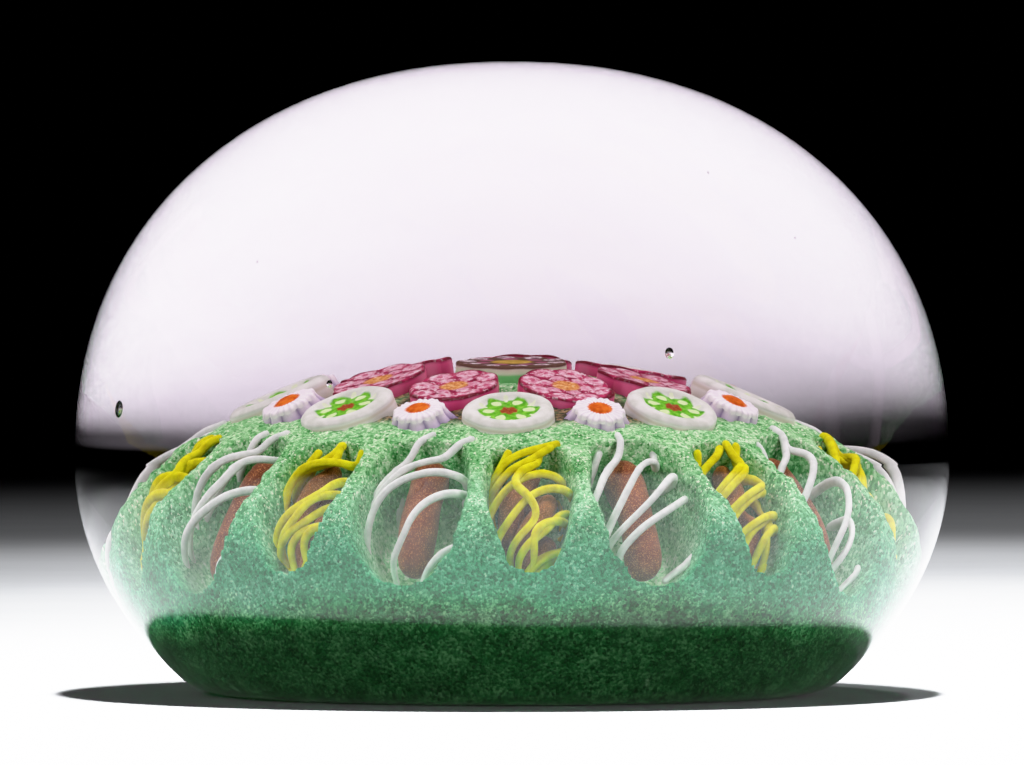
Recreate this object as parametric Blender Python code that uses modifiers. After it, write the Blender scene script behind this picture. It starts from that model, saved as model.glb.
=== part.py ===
"""Millefiori glass paperweight: a clear crown cast over a green frit ground, which carries twenty-two
patterned canes on its top and sixteen twisted rods, each with an aventurine core, down its shoulder.

Metres, +Z up. The origin is the centre of the flat base, and azimuth 0 faces -Y.
The glass of the real object is fused; here each piece of glass is its own solid, set FUSE_GAP from the next.
"""

import math

import bmesh
import bpy
from mathutils import Matrix, Vector

# Gap that stands for a fused joint between two pieces of glass.
FUSE_GAP = 0.0003

# Clear crown: a squarish dome above the equator, an ellipse below it, cut flat at the foot.
CROWN_RADIUS = 0.0375
CROWN_HEIGHT = 0.0541
EQUATOR_HEIGHT = 0.020
UPPER_EXPONENT = 2.17
LOWER_HALF_HEIGHT = 0.0286
FOOT_ROUNDING_HEIGHT = 0.0012
FOOT_RADIUS = 0.025
CROWN_STEPS = 40

# Decorated cushion under the crown. The tops of the canes and the backs of the rods reach this surface.
CUSHION_HEIGHT = 0.026
CUSHION_CAP_RADIUS = 0.038
CUSHION_CAP_EDGE = 0.0234
CUSHION_SHOULDER_RADIUS = 0.005
CUSHION_BASE_RADIUS = 0.0240

# Frit ground: as the cushion, but lower under the canes, so that they stand proud of it.
FRIT_HEIGHT = 0.0249
FRIT_CAP_RADIUS = 0.042
FRIT_CAP_EDGE = 0.0230
FRIT_STEPS = 40

# Base gather: the dome of glass that the frit was picked up on, ground flat below.
GATHER_RADIUS = 0.016
GATHER_HEIGHT = 0.0145
GATHER_STEPS = 28

# Canes: short patterned rods that stand square to the cushion.
CANE_LENGTH = 0.0030
CENTRE_CANE_RADIUS = 0.0028
CENTRE_CANE_LOBES = 10
RING_COUNT = 7
RING_OFFSET_DEG = -0.9
PINK_RING_RADIUS = 0.0080
PINK_CANE_RADIUS = 0.0026
PINK_CANE_LOBES = 8
STAR_RING_RADIUS = 0.0132
STAR_CANE_RADIUS = 0.00262
DAISY_RING_RADIUS = 0.0136
DAISY_CANE_RADIUS = 0.00215
DAISY_CANE_LOBES = 12
LOBE_DEPTH = 0.07
SOCKET_SIDES = 12

# Twisted rods: bent down over the shoulder on an arc in their own radial plane.
ROD_PAIRS = 8
WHITE_ROD_OFFSET_DEG = 26.0
YELLOW_ROD_OFFSET_DEG = 3.5
ROD_ARC_CENTRE_OUT = 0.0117
ROD_ARC_CENTRE_UP = 0.0099
# Along each rod, from its top end: the angle on the arc in degrees, and the rod's radius there.
WHITE_ROD = {
    "arc": 0.00985,
    "core": 0.00140,
    "along": ((60, 0.0022), (50, 0.0029), (37, 0.0034), (23, 0.0036), (13, 0.0034), (8, 0.0023)),
}
YELLOW_ROD = {
    "arc": 0.01010,
    "core": 0.00125,
    "along": ((57, 0.0020), (49, 0.0026), (38, 0.0029), (27, 0.0028), (17, 0.0019)),
}
BORE_OVERRUN = 0.0015
ROD_BEVEL_RESOLUTION = 2
CORE_BEVEL_RESOLUTION = 1
GROOVE_SIDES = 5
GROOVE_REACH = 1.7

# Colours: red, green, blue, roughness.
CLEAR_GLASS = (0.93, 0.91, 0.94, 0.02)
FRIT_GREEN = (0.20, 0.47, 0.27, 0.45)
GATHER_GREEN = (0.03, 0.16, 0.06, 0.15)
STAR_WHITE = (0.86, 0.88, 0.80, 0.25)
DAISY_LAVENDER = (0.62, 0.55, 0.68, 0.25)
PINK = (0.70, 0.16, 0.32, 0.25)
OCHRE = (0.62, 0.42, 0.12, 0.25)
ROD_WHITE = (0.90, 0.91, 0.88, 0.20)
ROD_YELLOW = (0.86, 0.80, 0.08, 0.20)
AVENTURINE = (0.42, 0.18, 0.07, 0.35)


def clear_scene():
    for obj in list(bpy.data.objects):
        bpy.data.objects.remove(obj, do_unlink=True)


def new_collection(name):
    collection = bpy.data.collections.new(name)
    bpy.context.scene.collection.children.link(collection)
    return collection


def material(name, colour, transmission=0.0):
    made = bpy.data.materials.new(name)
    made.use_nodes = True
    shader = made.node_tree.nodes["Principled BSDF"]
    shader.inputs["Base Color"].default_value = (*colour[:3], 1.0)
    shader.inputs["Roughness"].default_value = colour[3]
    shader.inputs["Metallic"].default_value = 0.0
    shader.inputs["Transmission Weight"].default_value = transmission
    return made


def add_object(name, data, collection, surface=None):
    obj = bpy.data.objects.new(name, data)
    collection.objects.link(obj)
    if surface:
        data.materials.append(surface)
    return obj


# Outlines, each a list of (radius, height) pairs that runs down the outer side.


def crown_outer_profile():
    """Dome, belly and rounded foot of the clear crown, from the top of the axis to the foot's inner edge."""
    upper_half_height = CROWN_HEIGHT - EQUATOR_HEIGHT
    upper_points, lower_points, foot_points = 14, 7, 3
    power = 2 / UPPER_EXPONENT
    profile = []
    for i in range(upper_points + 1):
        angle = math.pi / 2 * (1 - i / upper_points)
        radius = CROWN_RADIUS * math.cos(angle) ** power if i else 0.0
        height = EQUATOR_HEIGHT + upper_half_height * max(math.sin(angle), 0.0) ** power
        profile.append((radius, height))
    lowest = math.asin((EQUATOR_HEIGHT - FOOT_ROUNDING_HEIGHT) / LOWER_HALF_HEIGHT)
    for i in range(1, lower_points + 1):
        angle = lowest * i / lower_points
        profile.append((CROWN_RADIUS * math.cos(angle), EQUATOR_HEIGHT - LOWER_HALF_HEIGHT * math.sin(angle)))
    belly_end = Vector(profile[-1])
    corner = Vector(((belly_end.x + FOOT_RADIUS) / 2, 0.0))
    foot = Vector((FOOT_RADIUS, 0.0))
    for i in range(1, foot_points + 1):
        t = i / foot_points
        point = belly_end * (1 - t) ** 2 + corner * 2 * t * (1 - t) + foot * t * t
        profile.append((point.x, point.y))
    return profile


def cushion_profile(height, cap_radius, cap_edge, shoulder, base_radius):
    """A domed cushion: a shallow spherical cap, a rounded shoulder, then a side that draws in to the base."""
    cap_points, shoulder_points, side_points = 7, 4, 3
    profile = []
    for i in range(cap_points + 1):
        radius = cap_edge * i / cap_points
        profile.append((radius, height - cap_radius + math.sqrt(cap_radius**2 - radius**2)))
    slope = math.asin(cap_edge / cap_radius)
    centre_out = cap_edge - shoulder * math.sin(slope)
    centre_up = profile[-1][1] - shoulder * math.cos(slope)
    for i in range(1, shoulder_points + 1):
        angle = slope + (math.pi / 2 - slope) * i / shoulder_points
        profile.append((centre_out + shoulder * math.sin(angle), centre_up + shoulder * math.cos(angle)))
    widest = centre_out + shoulder
    for i in range(1, side_points + 1):
        share = i / side_points
        profile.append((widest - (widest - base_radius) * share**2, centre_up * (1 - share)))
    return profile


def cavity_profile(outer):
    """The same outline FUSE_GAP further out, bottom to top, for the piece that closes over it."""
    made = []
    for i, (radius, height) in enumerate(outer):
        before = Vector(outer[max(i - 1, 0)])
        after = Vector(outer[min(i + 1, len(outer) - 1)])
        along = (after - before).normalized()
        out = radius - along.y * FUSE_GAP
        up = height + along.x * FUSE_GAP
        made.append((0.0 if i == 0 else out, height if i == len(outer) - 1 else up))
    return made[::-1]


def gather_dome_profile():
    """Half an ellipse, from the top of the axis to the edge of the flat base."""
    points = 7
    profile = []
    for i in range(points):
        angle = math.pi / 2 * i / points
        profile.append((GATHER_RADIUS * math.sin(angle), GATHER_HEIGHT * math.cos(angle)))
    return [*profile, (GATHER_RADIUS, 0.0)]


def turned(name, profile, steps, collection, surface):
    """The profile turned about the Z axis by a Screw modifier."""
    mesh = bpy.data.meshes.new(name)
    edges = [(i, i + 1) for i in range(len(profile) - 1)]
    mesh.from_pydata([(radius, 0.0, height) for radius, height in profile], edges, [])
    obj = add_object(name, mesh, collection, surface)
    screw = obj.modifiers.new("turn", "SCREW")
    screw.angle = math.tau
    screw.steps = screw.render_steps = steps
    screw.use_merge_vertices = True
    screw.merge_threshold = 0.00001
    screw.use_smooth_shade = True
    return obj


# Placing


def cushion_height_at(radius):
    return CUSHION_HEIGHT - CUSHION_CAP_RADIUS + math.sqrt(CUSHION_CAP_RADIUS**2 - radius**2)


def square_to_cushion(ring_radius, azimuth, depth):
    """Matrix whose Z axis leaves the cushion squarely at this ring and azimuth, its origin depth below."""
    lean = math.asin(ring_radius / CUSHION_CAP_RADIUS)
    turn = Matrix.Rotation(azimuth, 4, "Z")
    tilt = Matrix.Rotation(lean, 4, "X")
    place = turn @ Vector((0.0, -ring_radius, cushion_height_at(ring_radius)))
    return Matrix.Translation(place) @ turn @ tilt @ Matrix.Translation((0.0, 0.0, -depth))


# Canes


def lobed_outline(radius, lobes, points_per_lobe=3, depth=LOBE_DEPTH):
    """A circle with rounded flutes, as a cane drawn through a fluted mould has."""
    count = lobes * points_per_lobe
    outline = []
    for i in range(count):
        angle = math.tau * i / count
        reach = radius * (1 - depth * (1 - abs(math.cos(angle * lobes / 2))))
        outline.append((reach * math.cos(angle), reach * math.sin(angle)))
    return outline


def plain_outline(radius, sides=20):
    angles = [math.tau * i / sides for i in range(sides)]
    return [(radius * math.cos(angle), radius * math.sin(angle)) for angle in angles]


def prism(name, outline, length, collection, surface=None):
    """A flat outline as a filled 2D curve, extruded by half its length each way."""
    curve = bpy.data.curves.new(name, "CURVE")
    curve.dimensions = "2D"
    curve.fill_mode = "BOTH"
    curve.extrude = length / 2
    spline = curve.splines.new("POLY")
    spline.points.add(len(outline) - 1)
    spline.points.foreach_set("co", [value for x, y in outline for value in (x, y, 0.0, 1.0)])
    spline.use_cyclic_u = True
    return add_object(name, curve, collection, surface)


def cane(name, outline, ring_radius, azimuth, parts, cutters, surface):
    """One cane, and the round socket in the frit that it stands in."""
    obj = prism(name, outline, CANE_LENGTH, parts, surface)
    obj.matrix_world = square_to_cushion(ring_radius, azimuth, CANE_LENGTH / 2)
    widest = max(math.hypot(x, y) for x, y in outline)
    socket_length = CANE_LENGTH + 2 * FUSE_GAP
    socket_outline = plain_outline(widest + FUSE_GAP, SOCKET_SIDES)
    socket = prism(name + "_socket_disc", socket_outline, socket_length, cutters)
    socket.matrix_world = square_to_cushion(ring_radius, azimuth, CANE_LENGTH / 2)
    hide_cutter(to_mesh(socket, name + "_socket"))


def canes(parts, cutters):
    ochre = material("centre_cane_glass", OCHRE)
    pink = material("pink_cane_glass", PINK)
    white = material("star_cane_glass", STAR_WHITE)
    lavender = material("daisy_cane_glass", DAISY_LAVENDER)
    cane("centre_cane", lobed_outline(CENTRE_CANE_RADIUS, CENTRE_CANE_LOBES), 0.0, 0.0, parts, cutters, ochre)
    for i in range(RING_COUNT):
        star_azimuth = math.radians(RING_OFFSET_DEG) + math.tau * i / RING_COUNT
        daisy_azimuth = star_azimuth + math.pi / RING_COUNT
        cane(f"pink_cane_{i + 1}", lobed_outline(PINK_CANE_RADIUS, PINK_CANE_LOBES),
             PINK_RING_RADIUS, daisy_azimuth, parts, cutters, pink)
        cane(f"star_cane_{i + 1}", plain_outline(STAR_CANE_RADIUS),
             STAR_RING_RADIUS, star_azimuth, parts, cutters, white)
        cane(f"daisy_cane_{i + 1}", lobed_outline(DAISY_CANE_RADIUS, DAISY_CANE_LOBES, 2),
             DAISY_RING_RADIUS, daisy_azimuth, parts, cutters, lavender)


# Twisted rods


def rod_path(rod, azimuth):
    """The rod's centre line, from its top end to its outer end, in the radial plane at this azimuth."""
    points = []
    for degrees, _ in rod["along"]:
        angle = math.radians(degrees)
        out = ROD_ARC_CENTRE_OUT + rod["arc"] * math.cos(angle)
        up = ROD_ARC_CENTRE_UP + rod["arc"] * math.sin(angle)
        points.append((out * math.sin(azimuth), -out * math.cos(azimuth), up))
    return points


def swept(name, points, radii, sides, collection, surface=None):
    """A round rod along the points, with its own radius at each and its ends capped."""
    curve = bpy.data.curves.new(name, "CURVE")
    curve.dimensions = "3D"
    curve.bevel_depth = 1.0
    curve.bevel_resolution = sides
    curve.use_fill_caps = True
    spline = curve.splines.new("POLY")
    spline.points.add(len(points) - 1)
    for point, place, radius in zip(spline.points, points, radii):
        point.co = (*place, 1.0)
        point.radius = radius
    return add_object(name, curve, collection, surface)


def groove_section(cutters):
    """A round-bottomed groove, one unit in half-width, whose straight sides run outwards past the frit."""
    curve = bpy.data.curves.new("groove_section", "CURVE")
    curve.dimensions = "2D"
    curve.fill_mode = "NONE"
    turns = [math.pi * (1 + i / GROOVE_SIDES) for i in range(GROOVE_SIDES + 1)]
    outline = [(math.cos(angle), math.sin(angle)) for angle in turns]
    outline += [(1.0, GROOVE_REACH), (-1.0, GROOVE_REACH)]
    spline = curve.splines.new("POLY")
    spline.points.add(len(outline) - 1)
    for point, (across, outward) in zip(spline.points, outline):
        point.co = (across, outward, 0.0, 1.0)
    spline.use_cyclic_u = True
    section = add_object("groove_section", curve, cutters)
    hide_cutter(section)
    return section


def twisted_rod(name, rod, azimuth, parts, cutters, bores, section, glass, core_surface):
    """A clear rod bored along its length, the core in that bore, and the groove that they lie in."""
    points = rod_path(rod, azimuth)
    radii = [radius for _, radius in rod["along"]]
    solid = to_mesh(swept(name + "_solid", points, radii, ROD_BEVEL_RESOLUTION, parts), name)
    solid.data.materials.append(glass)
    bore_points = lengthened(points, BORE_OVERRUN)
    bore_radii = [rod["core"] + FUSE_GAP] * len(bore_points)
    bore_line = swept(name + "_bore_line", bore_points, bore_radii, CORE_BEVEL_RESOLUTION, bores)
    bore = to_mesh(bore_line, name + "_bore")
    hide_cutter(bore)
    cut = solid.modifiers.new("bore", "BOOLEAN")
    cut.operation = "DIFFERENCE"
    cut.solver = "EXACT"
    cut.object = bore
    swept(name + "_core", points, [rod["core"]] * len(points), CORE_BEVEL_RESOLUTION, parts, core_surface)

    clear = [radius + FUSE_GAP for radius in radii]
    groove_points = lengthened(points, FUSE_GAP)
    groove_radii = [clear[0], *clear, clear[-1]]
    line = swept(name + "_groove_line", groove_points, groove_radii, CORE_BEVEL_RESOLUTION, cutters)
    line.data.bevel_mode = "OBJECT"
    line.data.bevel_object = section
    line.data.twist_mode = "Z_UP"
    hide_cutter(to_mesh(line, name + "_groove"))


def lengthened(points, extra):
    """The same line run on straight at both ends."""
    first, second = Vector(points[0]), Vector(points[1])
    last, before = Vector(points[-1]), Vector(points[-2])
    head = first + (first - second).normalized() * extra
    tail = last + (last - before).normalized() * extra
    return [tuple(head), *points, tuple(tail)]


def twisted_rods(parts, cutters, bores):
    white = material("white_rod_glass", ROD_WHITE)
    yellow = material("yellow_rod_glass", ROD_YELLOW)
    aventurine = material("aventurine_glass", AVENTURINE)
    section = groove_section(cutters)
    for i in range(ROD_PAIRS):
        turn = math.tau * i / ROD_PAIRS
        twisted_rod(f"white_twist_{i + 1}", WHITE_ROD, turn + math.radians(WHITE_ROD_OFFSET_DEG),
                    parts, cutters, bores, section, white, aventurine)
        twisted_rod(f"yellow_twist_{i + 1}", YELLOW_ROD, turn + math.radians(YELLOW_ROD_OFFSET_DEG),
                    parts, cutters, bores, section, yellow, aventurine)
    bpy.data.objects.remove(section)


# Cutting


def to_mesh(obj, name):
    """Replaces a curve by its welded mesh, under the given name."""
    bpy.context.view_layer.update()
    graph = bpy.context.evaluated_depsgraph_get()
    mesh = bpy.data.meshes.new_from_object(obj.evaluated_get(graph), depsgraph=graph)
    weld_mesh(mesh)
    made = add_object(name, mesh, obj.users_collection[0])
    made.matrix_world = obj.matrix_world.copy()
    bpy.data.objects.remove(obj)
    return made


def hide_cutter(obj):
    obj.display_type = "WIRE"
    obj.hide_render = True


def weld_mesh(mesh):
    work = bmesh.new()
    work.from_mesh(mesh)
    bmesh.ops.remove_doubles(work, verts=work.verts, dist=0.00001)
    bmesh.ops.recalc_face_normals(work, faces=work.faces)
    work.to_mesh(mesh)
    work.free()


def cut_by_collection(obj, cutters):
    cut = obj.modifiers.new("sockets_and_grooves", "BOOLEAN")
    cut.operation = "DIFFERENCE"
    cut.solver = "EXACT"
    cut.operand_type = "COLLECTION"
    cut.collection = cutters
    cut.use_self = True


def main():
    clear_scene()
    parts = new_collection("paperweight")
    cutters = new_collection("cutters")
    bores = new_collection("bores")

    cushion = cushion_profile(CUSHION_HEIGHT, CUSHION_CAP_RADIUS, CUSHION_CAP_EDGE,
                              CUSHION_SHOULDER_RADIUS, CUSHION_BASE_RADIUS)
    turned("clear_crown", crown_outer_profile() + cavity_profile(cushion), CROWN_STEPS, parts,
           material("clear_glass", CLEAR_GLASS, transmission=1.0))

    gather_dome = gather_dome_profile()
    frit_outer = cushion_profile(FRIT_HEIGHT, FRIT_CAP_RADIUS, FRIT_CAP_EDGE,
                                 CUSHION_SHOULDER_RADIUS, CUSHION_BASE_RADIUS - FUSE_GAP)
    frit = turned("frit_ground", frit_outer + cavity_profile(gather_dome), FRIT_STEPS, parts,
                  material("frit_glass", FRIT_GREEN))
    turned("base_gather", [*gather_dome, (0.0, 0.0)], GATHER_STEPS, parts,
           material("gather_glass", GATHER_GREEN))

    canes(parts, cutters)
    twisted_rods(parts, cutters, bores)
    cut_by_collection(frit, cutters)


main()
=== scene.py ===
"""Looks for the millefiori glass paperweight: its clear crown, green frit ground, canes and twisted rods.

Some settings are fitted to one viewpoint and aren't physical: POD_GLOW, SHADOW_TINT, the lamps that light
only the table or only the object, and the darker green that frit_material paints below DEEP_BELOW.
Painted light also stands in the frit's paler top, its flecks, its shade between canes and its bright
pocket walls, in the pink canes' flute highlights and in the daisy canes' shaded flute grooves.
"""

import math

import bpy
import numpy as np
from mathutils import Matrix, Vector


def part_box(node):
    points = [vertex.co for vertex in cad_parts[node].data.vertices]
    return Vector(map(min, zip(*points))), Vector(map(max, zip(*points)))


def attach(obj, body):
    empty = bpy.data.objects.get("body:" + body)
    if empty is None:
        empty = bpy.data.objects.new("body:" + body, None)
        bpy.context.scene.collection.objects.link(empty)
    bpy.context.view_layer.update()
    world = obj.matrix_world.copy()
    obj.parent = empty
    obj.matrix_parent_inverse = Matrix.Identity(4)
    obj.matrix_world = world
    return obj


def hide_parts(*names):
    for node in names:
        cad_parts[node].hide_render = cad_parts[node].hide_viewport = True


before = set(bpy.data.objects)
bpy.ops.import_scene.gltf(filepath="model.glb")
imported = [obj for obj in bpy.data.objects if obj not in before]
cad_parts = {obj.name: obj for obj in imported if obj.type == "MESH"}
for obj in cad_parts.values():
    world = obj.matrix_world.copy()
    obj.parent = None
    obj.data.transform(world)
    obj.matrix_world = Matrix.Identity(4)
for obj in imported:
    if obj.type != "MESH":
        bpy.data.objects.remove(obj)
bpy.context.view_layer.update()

GLASS_IOR = 1.52
# What light is left behind the crown: a set tint, in place of the pattern that refraction would cast.
SHADOW_TINT = (0.018, 0.010, 0.016)
CROWN_TINT = (0.45, 0.33, 0.43)
CROWN_TINT_DENSITY = 18.0
# The pockets' walls give off this much light, because they come out too dark without it.
POD_GLOW = 0.11
# Cells per metre in the frit's coarse and fine grains.
GRAIN_CELLS, FINE_GRAIN_CELLS = 4500, 8600
# Heights between which the frit's colour changes: out of the painted dark band, out of its painted shade,
# to the top painted paler as light from above.
DEEP_BELOW = (0.0085, 0.0120)
SHADE_BELOW = (0.0075, 0.0112)
PAINTED_TOP_LIGHT_ABOVE = (0.0135, 0.0215)
SHADE_LEFT = 0.17

# The crown's outline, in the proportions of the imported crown.
CROWN_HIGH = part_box("clear_crown")[1]
CROWN_RADIUS = CROWN_HIGH.x
CROWN_HEIGHT = CROWN_HIGH.z
EQUATOR_HEIGHT = 0.020
UPPER_EXPONENT = 2.17
LOWER_HALF_HEIGHT = 0.0286
FOOT_ROUNDING_HEIGHT = 0.0012
FOOT_RADIUS = 0.025

# The frit ground's outline.
FRIT_HEIGHT = 0.0249
FRIT_CAP_RADIUS = 0.042
FRIT_CAP_EDGE = 0.0230
FRIT_SHOULDER = 0.005
FRIT_BASE_RADIUS = 0.0236
CUSHION_HEIGHT = 0.026
CUSHION_CAP_RADIUS = 0.038
GATHER_RADIUS = 0.016
GATHER_HEIGHT = 0.0145
UNDERSIDE = 0.0004
CANE_BANK = 0.00035

# Air bubbles: place and radius.
BUBBLES = (
    ((-0.0312, -0.0134, 0.0243), 0.00055),
    ((0.0104, -0.0120, 0.0273), 0.00030),
    ((-0.0118, -0.0100, 0.0252), 0.00020),
    ((0.0130, -0.0050, 0.0380), 0.00008),
    ((-0.0170, -0.0080, 0.0330), 0.00007),
    ((0.0190, -0.0060, 0.0345), 0.00007),
)

# Canes.
RING_COUNT = 7
RING_OFFSET_DEG = -0.9
CANE_LENGTH = 0.0030
CENTRE_CANE_RADIUS = 0.0028
PINK_RING_RADIUS = 0.0080
PINK_CANE_RADIUS = 0.0026
STAR_RING_RADIUS = 0.0132
STAR_CANE_RADIUS = 0.00262
DAISY_RING_RADIUS = 0.0136
DAISY_CANE_RADIUS = 0.00215

# Twisted rods: the arc that each lies on in its radial plane, and its (degrees, radius) along that arc.
ROD_PAIRS = 8
WHITE_ROD_OFFSET_DEG = 26.0
YELLOW_ROD_OFFSET_DEG = 3.5
ARC_OUT, ARC_UP = 0.0117, 0.0099
WHITE_ARC, YELLOW_ARC = 0.00985, 0.01010
THREAD_LIFT = 0.00038
GROOVE_DEPTH = 0.60
WHITE_ALONG = ((61, 0.0028), (50, 0.0037), (38, 0.0043), (27, 0.0043), (18, 0.0038), (13, 0.0026))
YELLOW_ALONG = ((58, 0.0027), (49, 0.0032), (38, 0.0034), (27, 0.0031), (17, 0.0021))

# Lamps over the table: name, place, reach on the floor and the radiance each gives a white floor.
LAMP_HEIGHT = 1.0
FLOOR_POOLS = (
    ("floor_front", (0.050, -0.10), 0.32, 2.60),
    ("floor_middle", (0.060, 0.10), 0.26, 1.25),
    ("floor_back", (0.048, 0.30), 0.22, 0.66),
    ("floor_far", (0.240, 0.30), 0.62, 0.20),
)
COOL_WHITE = (0.955, 0.972, 1.0)
OBJECT_LIGHT = 0.92
FILL_COUNT = 4
FILL_SIZE = 0.30
FILL_POWER = 2.2
FILL_DISTANCE = 0.5
FILL_ELEVATION = math.radians(28)
SHOULDER_START = 0.7
SHOULDER_REACH = 3.5


# ---- mesh helpers


def round_turn(count):
    """This many even angles round a full turn."""
    return np.linspace(0, math.tau, count, endpoint=False)


def store(mesh, name, values):
    """Keeps a number on each point of the mesh, for its material to read."""
    layer = mesh.attributes.new(name, "FLOAT", "POINT")
    layer.data.foreach_set("value", np.asarray(values, np.float32))


def add_mesh(name, verts, faces, materials):
    """A smooth-shaded object made of these vertices and faces."""
    mesh = bpy.data.meshes.new(name)
    mesh.from_pydata([tuple(v) for v in np.asarray(verts, float)], [], [tuple(f) for f in faces])
    for made in materials:
        mesh.materials.append(made)
    mesh.polygons.foreach_set("use_smooth", np.full(len(mesh.polygons), True))
    mesh.update()
    obj = bpy.data.objects.new(name, mesh)
    bpy.context.scene.collection.objects.link(obj)
    return obj


def ring_faces(rows, columns, offset=0):
    """Quads of a grid that is closed round its columns; a row of one point isn't part of it."""
    row = np.arange(rows - 1)[:, None]
    column = np.arange(columns)[None, :]
    after = (column + 1) % columns
    a = offset + row * columns + column
    b = offset + row * columns + after
    return np.stack([a, a + columns, b + columns, b], -1).reshape(-1, 4)


def lathe_grid(profile, columns):
    """Points of a turned profile, row by row, without its ends on the axis."""
    angle = round_turn(columns)
    r, z = profile[:, 0][:, None], profile[:, 1][:, None]
    return np.stack([r * np.sin(angle), -r * np.cos(angle), z + 0 * angle], -1)


def closed_lathe(points, first, last):
    """Vertices and faces of a grid of rows, with a fan at each end to a point on the axis."""
    rows, columns = points.shape[:2]
    verts = np.concatenate([points.reshape(-1, 3), [first], [last]])
    body = ring_faces(rows, columns).tolist()
    top, bottom = rows * columns, rows * columns + 1
    for i in range(columns):
        after = (i + 1) % columns
        body.append((top, i, after))
        body.append((bottom, (rows - 1) * columns + after, (rows - 1) * columns + i))
    return verts, body


def resampled(profile, spacing):
    """The profile with a point every spacing along it; spacing is one number, or one for each stretch."""
    profile = np.asarray(profile, float)
    steps = np.linalg.norm(np.diff(profile, axis=0), axis=1) / spacing
    run = np.concatenate([[0], np.cumsum(steps)])
    along = np.linspace(0, run[-1], max(3, int(run[-1])))
    return np.stack([np.interp(along, run, profile[:, i]) for i in range(2)], -1)


def swept(points, radii, sides=10):
    """Vertices and faces of a tube with rounded ends along the points."""
    points = np.asarray(points, float)
    tangent = np.gradient(points, axis=0)
    tangent /= np.linalg.norm(tangent, axis=1)[:, None]
    normal = np.cross(tangent[0], (0.31, 0.52, 0.79))
    normal /= np.linalg.norm(normal)
    rings = []
    angle = round_turn(sides)
    caps = np.radians((25, 50, 72)) if sides > 12 else np.radians((40,))
    for i, (point, along) in enumerate(zip(points, tangent)):
        normal = normal - along * (normal @ along)
        normal /= np.linalg.norm(normal)
        across = np.cross(along, normal)
        circle = np.cos(angle)[:, None] * normal + np.sin(angle)[:, None] * across
        before = [(c, -1) for c in reversed(caps)] if i == 0 else []
        after = [(c, 1) for c in caps] if i == len(points) - 1 else []
        for cap, side in before + [(0.0, 0)] + after:
            centre = point + side * along * radii[i] * math.sin(cap)
            rings.append(centre + circle * radii[i] * math.cos(cap))
    grid = np.array(rings)
    start, end = points[0] - tangent[0] * radii[0], points[-1] + tangent[-1] * radii[-1]
    verts, faces = closed_lathe(grid, start, end)
    return verts, [tuple(reversed(f)) for f in faces]


def joined(pieces):
    """One list of vertices and faces from several."""
    verts, faces, start = [], [], 0
    for piece_verts, piece_faces in pieces:
        verts.append(piece_verts)
        faces += [tuple(int(i) + start for i in f) for f in piece_faces]
        start += len(piece_verts)
    return np.concatenate(verts), faces


# ---- noise on arrays of points


def hashed(cells, seed):
    """Numbers from 0 to 1 for whole-number cells."""
    h = np.full(cells.shape[:-1], seed * 374761393 + 668265263, np.uint64) & np.uint64(0xFFFFFFFF)
    for axis, prime in enumerate((73856093, 19349663, 83492791)):
        value = (cells[..., axis].astype(np.int64) & 0xFFFFFFFF).astype(np.uint64)
        h = ((h ^ (value * np.uint64(prime))) * np.uint64(2654435761)) & np.uint64(0xFFFFFFFF)
        h ^= h >> np.uint64(15)
    return (h & np.uint64(0xFFFFFF)).astype(float) / float(0xFFFFFF)


def soft_noise(points, size, seed):
    """Smooth noise from -1 to 1 with features of the given size."""
    q = points / size
    base = np.floor(q).astype(np.int64)
    t = q - base
    t = t * t * (3 - 2 * t)
    total = 0
    for corner in np.ndindex(2, 2, 2):
        share = np.prod([t[..., i] if corner[i] else 1 - t[..., i] for i in range(3)], axis=0)
        total = total + share * hashed(base + np.array(corner), seed)
    return total * 2 - 1


def grain_noise(points, size, seed):
    """Distance to the nearest grain centre, in units of the grain size."""
    q = points / size
    base = np.floor(q).astype(np.int64)
    nearest = np.full(points.shape[:-1], 9.0)
    for step in np.ndindex(3, 3, 3):
        cell = base + np.array(step) - 1
        centre = cell + np.stack([hashed(cell, seed + i) for i in range(3)], -1)
        nearest = np.minimum(nearest, np.linalg.norm(centre - q, axis=-1))
    return nearest


def smoothstep(low, high, value):
    """0 at low, 1 at high, smooth between; low may be above high."""
    t = np.clip((value - low) / (high - low), 0, 1)
    return t * t * (3 - 2 * t)


# ---- material helpers


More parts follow.
